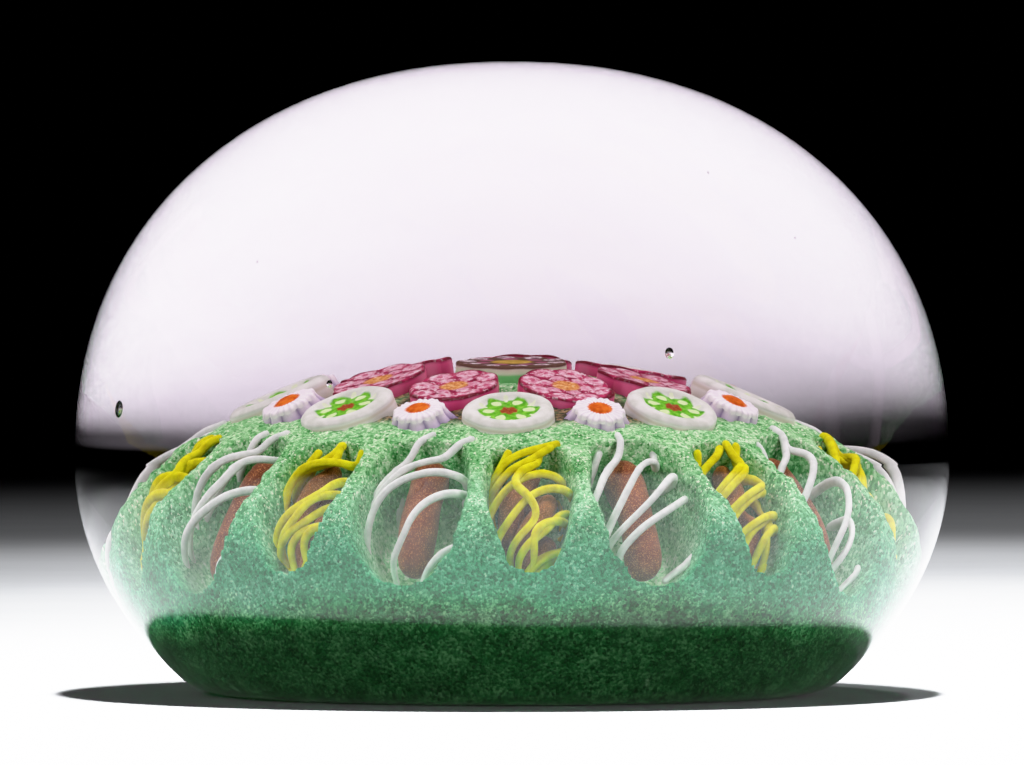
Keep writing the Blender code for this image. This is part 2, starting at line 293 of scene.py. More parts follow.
class Nodes:
    """A short way to write a material's node tree."""

    def __init__(self, name):
        self.material = bpy.data.materials.new(name)
        self.material.use_nodes = True
        self.tree = self.material.node_tree
        self.shader = self.tree.nodes["Principled BSDF"]
        self.output = self.tree.nodes["Material Output"]

    def node(self, kind, inputs=(), **settings):
        """A new node with its settings, and its inputs fed."""
        made = self.tree.nodes.new(kind)
        for key, value in settings.items():
            setattr(made, key, value)
        for key, value in dict(inputs).items():
            self.feed(made.inputs[key], value)
        return made

    def feed(self, socket, value):
        """Links a socket to an input, or sets the input to a value."""
        if isinstance(value, bpy.types.NodeSocket):
            self.tree.links.new(value, socket)
        elif isinstance(value, tuple) and len(value) == 3 and socket.type == "RGBA":
            socket.default_value = (*value, 1.0)
        else:
            socket.default_value = value

    def math(self, operation, a, b=0.0):
        """One step of arithmetic on numbers or sockets."""
        return self.node("ShaderNodeMath", {0: a, 1: b}, operation=operation).outputs[0]

    def plus(self, a, b):
        """a + b."""
        return self.math("ADD", a, b)

    def minus(self, a, b):
        """a - b."""
        return self.math("SUBTRACT", a, b)

    def times(self, a, b):
        """a * b."""
        return self.math("MULTIPLY", a, b)

    def attribute(self, name):
        """A number stored on the mesh's points."""
        return self.node("ShaderNodeAttribute", attribute_name=name).outputs["Fac"]

    def mix(self, share, a, b):
        """Colour a at share 0, colour b at share 1."""
        made = self.node("ShaderNodeMix", data_type="RGBA")
        colours = [s for s in made.inputs if s.type == "RGBA"]
        self.feed(made.inputs[0], share)
        self.feed(colours[0], a)
        self.feed(colours[1], b)
        return next(s for s in made.outputs if s.type == "RGBA")

    def step(self, low, high, value):
        """0 below low, 1 above high, smooth between."""
        made = self.node(
            "ShaderNodeMapRange",
            {"Value": value, "From Min": low, "From Max": high},
            interpolation_type="SMOOTHSTEP",
        )
        return made.outputs["Result"]

    def below(self, low, high, value):
        """1 below low, 0 above high, smooth between."""
        return self.minus(1.0, self.step(low, high, value))

    def place(self):
        """Position on the object, in metres."""
        return self.node("ShaderNodeTexCoord").outputs["Object"]

    def noise(self, scale, detail=2.0, roughness=0.5, vector=None):
        """Smooth noise from 0 to 1."""
        made = self.node(
            "ShaderNodeTexNoise",
            {"Vector": vector or self.place(), "Scale": scale, "Detail": detail, "Roughness": roughness},
        )
        return made.outputs["Fac"]

    def cells(self, scale, vector=None):
        """Random cells, each with a colour of its own, at this many to the metre."""
        return self.node(
            "ShaderNodeTexVoronoi",
            {"Vector": vector or self.place(), "Scale": scale, "Randomness": 1.0},
            feature="F1",
        )

    def ramp(self, value, stops):
        """A colour that runs through (position, colour) stops."""
        made = self.node("ShaderNodeValToRGB", {0: value})
        ramp = made.color_ramp
        while len(ramp.elements) < len(stops):
            ramp.elements.new(0.5)
        for element, (position, colour) in zip(ramp.elements, stops):
            element.position = position
            element.color = (*colour, 1.0)
        return made.outputs["Color"]

    def bump(self, height, strength, distance):
        """Shades the surface as if it had this relief."""
        made = self.node("ShaderNodeBump", {"Height": height, "Strength": strength, "Distance": distance})
        self.feed(self.shader.inputs["Normal"], made.outputs["Normal"])

    def set(self, **values):
        """Feeds the shader's inputs by name."""
        for key, value in values.items():
            self.feed(self.shader.inputs[key.replace("_", " ")], value)
        return self


def in_glass(made, roughness=0.45):
    """Opaque glass that touches clear glass has almost no gloss of its own at the joint."""
    made.set(Roughness=roughness, IOR=1.5)
    made.shader.inputs["Specular IOR Level"].default_value = 0.12
    return made.material


# ---- materials


def crown_material():
    """Clear glass with a faint lavender tint, whose shadow has a set tint."""
    made = Nodes("clear_crown_glass")
    made.set(Base_Color=(1.0, 1.0, 1.0), Roughness=0.0, IOR=GLASS_IOR)
    made.shader.inputs["Transmission Weight"].default_value = 1.0
    wear = made.noise(900, 3.0)
    made.feed(made.shader.inputs["Roughness"], made.times(made.step(0.68, 0.8, wear), 0.012))
    path = made.node("ShaderNodeLightPath")
    side = made.node("ShaderNodeNewGeometry")
    through = made.mix(side.outputs["Backfacing"], SHADOW_TINT, (1.0, 1.0, 1.0))
    clear = made.node("ShaderNodeBsdfTransparent", {"Color": through})
    shown = made.node("ShaderNodeMixShader", {0: path.outputs["Is Shadow Ray"], 1: made.shader.outputs[0]})
    made.feed(shown.inputs[2], clear.outputs[0])
    made.feed(made.output.inputs["Surface"], shown.outputs[0])
    tint = made.node("ShaderNodeVolumeAbsorption", {"Color": CROWN_TINT, "Density": CROWN_TINT_DENSITY})
    made.feed(made.output.inputs["Volume"], tint.outputs[0])
    return made.material


def frit_material():
    """Crushed green glass with grains, and painted light: a paler top with sparkle, a dark shaded band at
    the bottom, shade in the gaps between canes, and bright, glowing pocket walls.
    """
    made = Nodes("frit_green_glass")
    place = made.place()
    height = made.node("ShaderNodeSeparateXYZ", {0: place}).outputs["Z"]
    grain = made.cells(GRAIN_CELLS, place)
    fine = made.cells(FINE_GRAIN_CELLS, place)
    lumps = made.noise(420, 3.0, 0.6)
    drift = made.noise(130, 2.0)
    mixed = made.plus(made.times(grain.outputs["Color"], 0.40),
                      made.times(fine.outputs["Color"], 0.27))
    tone = made.plus(mixed, made.times(lumps, 0.41))
    low = made.ramp(tone, [
        (0.30, (0.003, 0.130, 0.040)),
        (0.46, (0.014, 0.270, 0.100)),
        (0.60, (0.042, 0.430, 0.180)),
        (0.72, (0.140, 0.600, 0.320)),
        (0.85, (0.480, 0.800, 0.540)),
    ])
    # Painted shade: darker greens for the dark band at the bottom.
    deep = made.ramp(tone, [
        (0.36, (0.001, 0.070, 0.007)),
        (0.57, (0.030, 0.350, 0.074)),
        (0.76, (0.30, 0.90, 0.34)),
    ])
    # Painted top light: paler greens for the top, where the light from above falls.
    high = made.ramp(tone, [
        (0.30, (0.030, 0.230, 0.040)),
        (0.45, (0.160, 0.490, 0.160)),
        (0.58, (0.360, 0.700, 0.330)),
        (0.71, (0.600, 0.860, 0.530)),
        (0.84, (0.900, 0.960, 0.800)),
    ])
    lift = made.plus(height, made.times(made.minus(drift, 0.5), 0.004))
    colour = made.mix(made.step(*PAINTED_TOP_LIGHT_ABOVE, lift), low, high)
    colour = made.mix(made.step(*DEEP_BELOW, lift), deep, colour)
    # Painted shade: below SHADE_BELOW the colour is mixed towards black-green, and more so at the foot.
    shade = made.plus(SHADE_LEFT, made.times(made.step(*SHADE_BELOW, lift), 1 - SHADE_LEFT))
    painted_foot_shade = made.times(made.step(0.0, 0.007, lift), 0.50)
    shade = made.times(shade, made.plus(0.50, painted_foot_shade))
    colour = made.mix(shade, (0.0, 0.006, 0.0), colour)
    # Painted sparkle: pale cream grains, shown only on the frit's top, where light from above catches them.
    painted_sparkle = made.times(made.step(0.77, 0.86, fine.outputs["Color"]), made.step(0.013, 0.019, height))
    colour = made.mix(made.times(painted_sparkle, 0.65), colour, (0.97, 0.97, 0.78))
    # Painted shade: dark brown in the narrow gaps between canes.
    gap_shade = made.attribute("gap_shade")
    gap_shade_colour = made.ramp(grain.outputs["Color"], [(0.35, (0.022, 0.012, 0.014)), (0.58, (0.10, 0.035, 0.030)),
                                             (0.76, (0.34, 0.20, 0.09))])
    colour = made.mix(made.times(gap_shade, 0.9), colour, gap_shade_colour)
    pocket = made.attribute("pocket")
    # Painted light: the pocket walls are painted in brighter greens than the frit around them, as little
    # light reaches into the pockets.
    lower_pocket_painted_light = made.ramp(tone, [
        (0.34, (0.10, 0.48, 0.15)),
        (0.52, (0.34, 0.76, 0.36)),
        (0.74, (0.86, 0.97, 0.78)),
    ])
    upper_pocket_painted_light = made.ramp(tone, [
        (0.34, (0.002, 0.22, 0.030)),
        (0.56, (0.015, 0.40, 0.075)),
        (0.80, (0.22, 0.70, 0.28)),
    ])
    wall = made.mix(made.step(0.0140, 0.0185, height), lower_pocket_painted_light, upper_pocket_painted_light)
    colour = made.mix(made.times(pocket, 0.85), colour, wall)
    # The pocket walls also glow with this painted light, though they are no lamp.
    made.set(Base_Color=colour, Emission_Color=wall, Emission_Strength=made.times(pocket, POD_GLOW))
    made.bump(made.minus(1.0, grain.outputs["Distance"]), 0.6, 0.00012)
    return in_glass(made, 0.5)


def gather_material():
    """Dark green glass with a slow swirl."""
    made = Nodes("base_gather_glass")
    swirl = made.noise(160, 4.0, 0.6)
    made.set(Base_Color=made.ramp(swirl, [(0.3, (0.010, 0.075, 0.022)), (0.7, (0.035, 0.18, 0.06))]))
    return in_glass(made, 0.3)


def aventurine_material(name, brown, dark):
    """Brown glass full of copper flakes."""
    made = Nodes(name)
    body = made.noise(900, 4.0, 0.65)
    flake = made.cells(15000)
    bright = made.step(0.66, 0.82, flake.outputs["Color"])
    colour = made.ramp(body, [(0.25, dark), (0.75, brown)])
    colour = made.mix(made.times(bright, 0.6), colour, (0.90, 0.46, 0.18))
    made.set(Base_Color=colour, Metallic=made.times(bright, 0.35))
    made.bump(flake.outputs["Color"], 0.5, 0.00003)
    return in_glass(made, 0.35)


def thread_material(name, light, deep):
    """Opaque drawn glass with faint streaks along it."""
    made = Nodes(name)
    streak = made.noise(1400, 3.0, 0.6)
    made.set(Base_Color=made.ramp(streak, [(0.30, deep), (0.62, light)]))
    made.bump(streak, 0.15, 0.00005)
    return in_glass(made, 0.35)


def cane_coordinates(made):
    """(radius, angle) in a cane's own cross-section, from its UVs, where 1 is its outer radius."""
    uv = made.node("ShaderNodeTexCoord").outputs["UV"]
    parts = made.node("ShaderNodeSeparateXYZ", {0: uv})
    x, y = parts.outputs["X"], parts.outputs["Y"]
    radius = made.math("SQRT", made.plus(made.times(x, x), made.times(y, y)))
    angle = made.math("ARCTAN2", y, x)
    wobble = made.times(made.minus(made.noise(1500, 2.0), 0.5), 0.10)
    return made.plus(radius, wobble), made.plus(angle, made.times(wobble, 2.0))


def petal(made, radius, angle, count, centre, length, width, phase=0.0):
    """1 inside petals set round a circle: centre, length and width are in cane radii."""
    turn = made.plus(made.times(angle, count), phase)
    side = made.times(made.math("ARCCOSINE", made.math("COSINE", turn)), 1.0 / count)
    across = made.math("DIVIDE", made.times(side, centre), width)
    along = made.math("DIVIDE", made.minus(radius, centre), length)
    far = made.plus(made.times(across, across), made.times(along, along))
    return made.below(0.72, 1.15, far)


def star_material():
    """White cane with a green six-pointed star and a red dot."""
    made = Nodes("star_cane_glass")
    radius, angle = cane_coordinates(made)
    height = made.attribute("depth")
    white = made.ramp(made.noise(900, 3.0), [(0.3, (0.62, 0.66, 0.56)), (0.6, (0.80, 0.82, 0.75))])
    mottle = made.noise(2600, 3.0, 0.7)
    green = made.ramp(mottle, [(0.35, (0.060, 0.33, 0.010)), (0.65, (0.26, 0.68, 0.06))])
    lobes = made.math("COSINE", made.times(angle, 6.0))
    star = made.plus(0.62, made.times(lobes, 0.06))
    inside = made.below(-0.03, 0.03, made.minus(radius, star))
    colour = made.mix(inside, white, green)
    colour = made.mix(petal(made, radius, angle, 6, 0.44, 0.14, 0.11), colour, (0.68, 0.86, 0.44))
    colour = made.mix(petal(made, radius, angle, 6, 0.60, 0.11, 0.06, math.pi), colour, (0.76, 0.84, 0.60))
    dot = made.below(0.17, 0.21, radius)
    colour = made.mix(dot, colour, (0.36, 0.085, 0.030))
    side = made.ramp(height, [(0.05, (0.80, 0.80, 0.74)), (0.14, (0.68, 0.65, 0.52)),
                              (0.19, (0.80, 0.80, 0.72)), (0.45, (0.72, 0.76, 0.60)),
                              (0.70, (0.45, 0.60, 0.38))])
    made.set(Base_Color=made.mix(made.step(0.02, 0.05, height), colour, side))
    return in_glass(made, 0.3)


def daisy_material():
    """White scalloped top with an orange-red dot, and fluted purple sides."""
    made = Nodes("daisy_cane_glass")
    radius, angle = cane_coordinates(made)
    height = made.attribute("depth")
    flute = made.math("ABSOLUTE", made.math("COSINE", made.times(angle, 5.0)))
    side = made.ramp(height, [(0.04, (0.86, 0.82, 0.84)), (0.17, (0.70, 0.62, 0.72)),
                              (0.33, (0.40, 0.32, 0.50)), (0.60, (0.14, 0.10, 0.24))])
    # Painted shade: the grooves between the flutes on the side are painted darker purple.
    side = made.mix(made.times(made.math("POWER", made.minus(1.0, flute), 2.0), 0.8), side,
                    (0.20, 0.14, 0.30))
    comb = made.math("COSINE", made.times(angle, 24.0))
    top = made.mix(made.times(made.step(0.1, 0.9, comb), 0.35), (0.93, 0.90, 0.89), (0.66, 0.58, 0.70))
    serrated = made.plus(0.46, made.times(comb, 0.035))
    dot = made.below(-0.02, 0.02, made.minus(radius, serrated))
    orange = made.ramp(made.noise(2500), [(0.3, (0.50, 0.075, 0.010)), (0.7, (0.86, 0.22, 0.03))])
    top = made.mix(dot, top, orange)
    made.set(Base_Color=made.mix(made.step(0.03, 0.07, height), top, side))
    return in_glass(made, 0.3)


def pink_material():
    """Raspberry cane with pale mottled petals round a lacy orange centre."""
    made = Nodes("pink_cane_glass")
    radius, angle = cane_coordinates(made)
    height = made.attribute("depth")
    mottle = made.noise(2100, 3.0, 0.7)
    berry = made.ramp(made.noise(1300, 3.0), [(0.3, (0.16, 0.006, 0.030)), (0.7, (0.56, 0.045, 0.140))])
    pale = made.ramp(mottle, [(0.34, (0.56, 0.10, 0.20)), (0.50, (0.74, 0.40, 0.48)),
                              (0.66, (0.86, 0.74, 0.74))])
    colour = made.mix(petal(made, radius, angle, 8, 0.72, 0.20, 0.24), berry, pale)
    colour = made.mix(made.times(petal(made, radius, angle, 8, 0.74, 0.07, 0.08), 0.8), colour,
                      (0.50, 0.06, 0.15))
    speckle = made.step(0.53, 0.61, made.noise(3000, 3.0, 0.7))
    colour = made.mix(made.times(speckle, 0.8), colour, (0.86, 0.68, 0.70))
    stain = made.step(0.53, 0.62, made.noise(1700, 3.0, 0.7, made.place()))
    colour = made.mix(made.times(stain, 0.75), colour, (0.40, 0.030, 0.085))
    ring = petal(made, radius, angle, 6, 0.42, 0.13, 0.15, 1.6)
    colour = made.mix(made.times(ring, 0.85), colour, pale)
    lace = made.ramp(made.noise(3200, 3.0, 0.7), [(0.35, (0.42, 0.10, 0.03)), (0.52, (0.74, 0.36, 0.10)),
                                                  (0.66, (0.84, 0.62, 0.38))])
    colour = made.mix(made.below(0.24, 0.34, radius), colour, lace)
    rim = made.times(made.step(0.90, 0.97, radius), 0.85)
    colour = made.mix(rim, colour, (0.12, 0.015, 0.020))
    flute = made.math("ABSOLUTE", made.math("COSINE", made.times(angle, 4.0)))
    side = made.ramp(height, [(0.04, (0.30, 0.015, 0.06)), (0.12, (0.66, 0.075, 0.21)),
                              (0.45, (0.46, 0.025, 0.11)), (0.80, (0.09, 0.010, 0.03))])
    # Painted highlight: the crests of the flutes on the side are painted a paler pink.
    side = made.mix(made.times(made.math("POWER", flute, 3.0), 0.4), side, (0.74, 0.24, 0.38))
    made.set(Base_Color=made.mix(made.step(0.03, 0.07, height), colour, side))
    return in_glass(made, 0.3)


def centre_material():
    """Ochre and gold cane with a dark, petalled surround."""
    made = Nodes("centre_cane_glass")
    radius, angle = cane_coordinates(made)
    height = made.attribute("depth")
    mottle = made.noise(1900, 3.0, 0.7)
    around = made.ramp(mottle, [(0.36, (0.12, 0.08, 0.08)), (0.46, (0.40, 0.24, 0.28)),
                                (0.56, (0.74, 0.68, 0.66))])
    colour = made.mix(petal(made, radius, angle, 10, 0.80, 0.17, 0.17), (0.13, 0.07, 0.05), around)
    colour = made.mix(petal(made, radius, angle, 7, 0.54, 0.13, 0.15), colour, (0.36, 0.12, 0.18))
    gold = made.ramp(made.noise(1800), [(0.3, (0.34, 0.19, 0.02)), (0.7, (0.70, 0.50, 0.12))])
    colour = made.mix(made.below(0.32, 0.42, radius), colour, gold)
    side = made.ramp(height, [(0.05, (0.30, 0.16, 0.16)), (0.09, (0.66, 0.60, 0.50)),
                              (0.17, (0.60, 0.66, 0.48)), (0.22, (0.16, 0.50, 0.17)),
                              (0.75, (0.10, 0.34, 0.10))])
    made.set(Base_Color=made.mix(made.step(0.03, 0.07, height), colour, side))
    return in_glass(made, 0.3)


def bubble_material():
    """The wall between glass and air, seen from the glass."""
    made = Nodes("bubble_wall")
    made.tree.nodes.remove(made.shader)
    smear = made.times(made.step(0.6, 0.8, made.noise(3000, 2.0)), 0.02)
    glass = {"Color": (1.0, 1.0, 1.0), "Roughness": smear, "IOR": 1 / GLASS_IOR}
    wall = made.node("ShaderNodeBsdfGlass", glass)
    made.feed(made.output.inputs["Surface"], wall.outputs[0])
    return made.material


# ---- crown


def crown_profile():
    """The crown's outline in four stretches, from the top to the middle of the foot."""
    upper_half = CROWN_HEIGHT - EQUATOR_HEIGHT
    power = 2 / UPPER_EXPONENT
    angle = np.linspace(math.pi / 2, 0, 400)[1:]
    upper = np.stack([
        CROWN_RADIUS * np.cos(angle) ** power,
        EQUATOR_HEIGHT + upper_half * np.clip(np.sin(angle), 0, None) ** power,
    ], -1)
    lowest = math.asin((EQUATOR_HEIGHT - FOOT_ROUNDING_HEIGHT) / LOWER_HALF_HEIGHT)
    angle = np.linspace(0, lowest, 120)[1:]
    lower = np.stack([CROWN_RADIUS * np.cos(angle), EQUATOR_HEIGHT - LOWER_HALF_HEIGHT * np.sin(angle)], -1)
    start = lower[-1]
    corner = np.array([(start[0] + FOOT_RADIUS) / 2, 0.0])
    t = np.linspace(0, 1, 12)[1:, None]
    foot = start * (1 - t) ** 2 + corner * 2 * t * (1 - t) + np.array([FOOT_RADIUS, 0.0]) * t * t
    base = np.stack([np.linspace(FOOT_RADIUS, 0.002, 12)[1:], np.zeros(11)], -1)
    return upper, lower, foot, base


def make_crown():
    """The clear dome over everything."""
    upper, lower, foot, base = crown_profile()
    curve = np.concatenate([resampled(np.concatenate([[(0.0, CROWN_HEIGHT)], upper]), 0.0006)[1:],
                            resampled(lower, 0.0006), foot, base])
    grid = lathe_grid(curve, 288)
    verts, faces = closed_lathe(grid, (0, 0, CROWN_HEIGHT), (0, 0, 0))
    crown = add_mesh("crown_glass", verts, faces, [crown_material()])
    crown.visible_diffuse = False
    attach(crown, "root")
    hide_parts("clear_crown")


def make_bubbles():
    """Air bubbles: their walls bend light the opposite way to a glass ball."""
    look = bubble_material()
    for i, (place, size) in enumerate(BUBBLES):
        rise = np.linspace(math.pi / 2, -math.pi / 2, 17)[1:-1]
        profile = np.stack([size * np.cos(rise), size * 1.25 * np.sin(rise)], -1)
        verts, faces = closed_lathe(lathe_grid(profile, 28), (0, 0, size * 1.25), (0, 0, -size * 1.25))
        bubble = add_mesh(f"bubble_{i + 1}", verts, faces, [look])
        bubble.location = place
        bubble.visible_shadow = False
        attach(bubble, "root")


# ---- ground


def frit_profile():
    """The frit's outline before carving: a cap, a round shoulder and a side that draws in."""
    radius = np.linspace(0, FRIT_CAP_EDGE, 160)
    cap = np.stack([radius, FRIT_HEIGHT - FRIT_CAP_RADIUS + np.sqrt(FRIT_CAP_RADIUS**2 - radius**2)], -1)
    slope = math.asin(FRIT_CAP_EDGE / FRIT_CAP_RADIUS)
    centre_out = FRIT_CAP_EDGE - FRIT_SHOULDER * math.sin(slope)
    centre_up = cap[-1, 1] - FRIT_SHOULDER * math.cos(slope)
    angle = np.linspace(slope, math.pi / 2, 30)[1:]
    shoulder = np.stack([
        centre_out + FRIT_SHOULDER * np.sin(angle),
        centre_up + FRIT_SHOULDER * np.cos(angle),
    ], -1)
    widest = centre_out + FRIT_SHOULDER
    share = np.linspace(0, 1, 40)[1:]
    side = np.stack([
        widest - (widest - FRIT_BASE_RADIUS) * share**2,
        centre_up * (1 - share) + UNDERSIDE * share,
    ], -1)
    return np.concatenate([cap, shoulder, side])


def rod_half_width(degrees, along, end_round):
    """Half-width of a rod's groove at each angle of its arc, closing in a half-ellipse past each end."""
    width = rod_reach(degrees, along)
    for edge, sign in ((along[0][0], 1), (along[-1][0], -1)):
        past = np.clip(sign * (degrees - edge) / end_round, 0, 1)
        width = width * np.sqrt(1 - past**2)
    return width


def carved(points, along, arc, offset_deg, wall, floor_lift, seed):
    """Moves the ground's points down into the grooves of one kind of rod."""
    radius = np.hypot(points[..., 0], points[..., 1])
    azimuth = np.arctan2(points[..., 0], -points[..., 1])
    out, up = radius - ARC_OUT, points[..., 2] - ARC_UP
    distance = np.hypot(out, up)
    degrees = np.degrees(np.arctan2(up, out))
    spacing = math.tau / ROD_PAIRS
    turned = (azimuth - math.radians(offset_deg) + spacing / 2) % spacing - spacing / 2
    across = np.abs(radius * np.sin(turned))
    ragged = soft_noise(points, 0.0016, seed) * 0.00020 + soft_noise(points, 0.0005, seed + 1) * 0.00008
    width = rod_half_width(degrees, along, 4.5) + ragged
    width = np.where(degrees < -30, 0, width)
    inside = smoothstep(0, wall, width - across)
    floor = arc - GROOVE_DEPTH * np.sqrt(np.clip(width**2 - across**2, 0, None)) + floor_lift
    target = distance + (np.minimum(floor, distance) - distance) * inside
    scale = np.where(width > 0.0002, target / np.maximum(distance, 1e-6), 1.0)
    new_radius = ARC_OUT + out * scale
    moved = points.copy()
    moved[..., 0] *= new_radius / np.maximum(radius, 1e-6)
    moved[..., 1] *= new_radius / np.maximum(radius, 1e-6)
    moved[..., 2] = ARC_UP + up * scale
    return moved, inside


def cane_gap_shade(points):
    """Painted shade: 1 where the frit shows in a narrow gap between canes, 0 in the open."""
    nearest = np.full(len(points), 1.0)
    for kind, _, ring, azimuth in cane_places()[1:]:
        centre = np.array([ring * math.sin(azimuth), -ring * math.cos(azimuth)])
        edge = CANE_KINDS[kind]["radius"] * max(CANE_KINDS[kind]["bell"])
        nearest = np.minimum(nearest, np.linalg.norm(points[:, :2] - centre, axis=1) - edge)
    from_axis = np.hypot(points[:, 0], points[:, 1])
    between = smoothstep(0.0062, 0.0078, from_axis) * (1 - smoothstep(0.0130, 0.0152, from_axis))
    return (1 - smoothstep(0.0002, 0.0012, nearest)) * between * (points[:, 2] > 0.018)


def make_ground():
    """The frit with its grains and carved pockets, and the gather inside it."""
    columns = 540
    profile = frit_profile()
    plain = (profile[:, 0] < 0.0125) & (profile[:, 1] > 0.020) | (profile[:, 1] < 0.009)
    outer = resampled(profile, np.where(plain, 0.00043, 0.00023)[1:])[1:]
    grid = lathe_grid(outer, columns)
    radial = np.gradient(outer, axis=0)
    radial /= np.linalg.norm(radial, axis=1)[:, None]
    out, up = -radial[:, 1][:, None], radial[:, 0][:, None]
    angle = round_turn(columns)
    normal = np.stack([out * np.sin(angle), -out * np.cos(angle), up + 0 * angle], -1)
    lumps = soft_noise(grid, 0.0021, 3) * 0.00016 + soft_noise(grid, 0.0009, 4) * 0.00012
    grain_height = 0.00007 + 0.00008 * smoothstep(0.012, 0.019, grid[..., 2])
    grains = (0.5 - grain_noise(grid, 0.00042, 5)) * grain_height
    fade = smoothstep(0.0, 0.002, grid[..., 2] - UNDERSIDE)[..., None]
    from_axis = np.hypot(grid[..., 0], grid[..., 1])
    bank = CANE_BANK * smoothstep(0.0118, 0.0150, from_axis) * (1 - smoothstep(0.0175, 0.0205, from_axis))
    rough = grid + normal * (lumps + grains + bank * (grid[..., 2] > 0.015))[..., None] * fade
    rough, white_cut = carved(rough, WHITE_ALONG, WHITE_ARC, WHITE_ROD_OFFSET_DEG, 0.0007, -0.0002, 11)
    rough, yellow_cut = carved(rough, YELLOW_ALONG, YELLOW_ARC, YELLOW_ROD_OFFSET_DEG, 0.0006, 0.0, 21)

    rise = np.linspace(0, math.pi / 2, 16)[:-1]
    hollow = GATHER_RADIUS + 0.0003
    cavity = np.stack([hollow * np.cos(rise), UNDERSIDE + GATHER_HEIGHT * np.sin(rise)], -1)
    inner = lathe_grid(cavity, columns)
    verts, faces = closed_lathe(np.concatenate([rough, inner]), (0, 0, FRIT_HEIGHT),
                                (0, 0, UNDERSIDE + GATHER_HEIGHT))
    ground = add_mesh("frit_cushion", verts, faces, [frit_material()])
    store(ground.data, "gap_shade", cane_gap_shade(verts))
    pocket = np.zeros(len(verts), np.float32)
    pocket[: white_cut.size] = np.maximum(white_cut, 0.5 * yellow_cut).ravel()
    store(ground.data, "pocket", pocket)
    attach(ground, "root")
    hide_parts("frit_ground")

    rise = np.linspace(math.pi / 2, 0, 24)[1:]
    dome = np.stack([GATHER_RADIUS * np.cos(rise), UNDERSIDE + (GATHER_HEIGHT - 0.0005) * np.sin(rise)], -1)
    flat = np.array([(GATHER_RADIUS * share, UNDERSIDE) for share in (0.8, 0.5, 0.2)])
    grid = lathe_grid(np.concatenate([dome, flat]), 96)
    verts, faces = closed_lathe(grid, (0, 0, UNDERSIDE + GATHER_HEIGHT - 0.0005), (0, 0, UNDERSIDE))
    gather = add_mesh("gather_dome", verts, faces, [gather_material()])
    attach(gather, "root")
    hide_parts("base_gather")


# ---- canes


def square_to_cushion(ring_radius, azimuth, sink):
    """Matrix whose Z axis leaves the cushion squarely at this ring and azimuth, sunk this far into it."""
    lean = math.asin(ring_radius / CUSHION_CAP_RADIUS)
    height = CUSHION_HEIGHT - CUSHION_CAP_RADIUS + math.sqrt(CUSHION_CAP_RADIUS**2 - ring_radius**2)
    turn = Matrix.Rotation(azimuth, 4, "Z")
    place = turn @ Vector((0.0, -ring_radius, height))
    sunk = Matrix.Translation((0.0, 0.0, -sink))
    return Matrix.Translation(place) @ turn @ Matrix.Rotation(lean, 4, "X") @ sunk


def cane_mesh(name, radius, lobes, lobe_depth, relief, bell, ragged, rim, material, seed):
    """One cane: a relief top on a polar grid, a rounded rim, and fluted sides that spread down to the frit.

    bell is the radius of the top and of the foot of the spread, as shares of the cane's radius, and ragged
    is how far its outline strays from round.
    """
    columns = 96
    noise = np.random.default_rng(seed)
    angle = round_turn(columns)
    flute = 1 - lobe_depth * (1 - np.abs(np.cos(angle * lobes / 2))) if lobes else np.ones(columns)
    waves = ((2, 1), (3, 1.6), (5, 2), (9, 3))
    drift = 1 + sum(ragged / k * np.cos(angle * n + noise.uniform(0, 6)) for n, k in waves)
    shares = np.linspace(0.06, 0.93, 22)
    turn = noise.uniform(0, math.tau)
    top_radius = radius * bell[0]
    rows, depths = [], []
    for share in shares:
        reach = top_radius * share * (1 + (flute * drift - 1) * smoothstep(0.3, 0.93, share))
        rows.append((reach, relief(share, angle)))
        depths.append(0.0)
    edge_lift = relief(1.0, angle)
    for step in np.linspace(0.0, math.pi / 2, 5)[1:]:
        edge = top_radius * flute * drift
        reach = edge - top_radius * 0.07 * (1 - math.sin(step))
        rows.append((reach, edge_lift - rim * (1 - math.cos(step))))
        depths.append(0.03 * math.sin(step))
    for down in np.linspace(0.05, 1.0, 14):
        spread = smoothstep(0.0, 0.62, down) ** 0.85
        spread_radius = top_radius + radius * (bell[1] - bell[0]) * spread
        edge = spread_radius * (1 + (flute - 1) * (1 + 0.8 * spread)) * drift
        rows.append((edge, edge_lift * (1 - down) - rim - (CANE_LENGTH - rim) * down))
        depths.append(0.06 + down)
    points = np.array([np.stack([reach * np.cos(angle), reach * np.sin(angle), height + 0 * angle], -1)
                       for reach, height in rows])
    verts, faces = closed_lathe(points, (0, 0, float(np.mean(points[0, :, 2]))), (0, 0, points[-1, 0, 2]))
    spin = Matrix.Rotation(turn, 3, "Z")
    section = np.asarray(verts)[:, :2] / top_radius
    verts = np.asarray(verts) @ np.array(spin).T
    obj = add_mesh(name, verts, [tuple(reversed(f)) for f in faces], [material])
    mesh = obj.data
    depth = np.concatenate([np.repeat(depths, columns), [0.0, 1.06]])
    store(mesh, "depth", depth)
    loops = np.empty(len(mesh.loops), np.int32)
    mesh.loops.foreach_get("vertex_index", loops)
    mesh.uv_layers.new(name="section").data.foreach_set("uv", section[loops].astype(np.float32).ravel())
    return obj


def star_relief(share, angle):
    """Relief of a star cane's top."""
    ring = smoothstep(0.58, 0.74, share) * (1 - smoothstep(0.84, 1.0, share) * 0.6)
    lobes = 0.5 + 0.5 * np.cos(angle * 6)
    return ring * 0.00026 + (1 - smoothstep(0.5, 0.64, share)) * lobes * 0.00008 - 0.00006


def daisy_relief(share, angle):
    """Relief of a daisy cane's top."""
    dot = 1 - smoothstep(0.30, 0.42, share)
    comb = 0.5 + 0.5 * np.cos(angle * 24)
    domed = 0.00018 * (1 - share**2) - 0.00006
    return dot * 0.00012 + comb * 0.00009 * smoothstep(0.38, 0.7, share) + domed


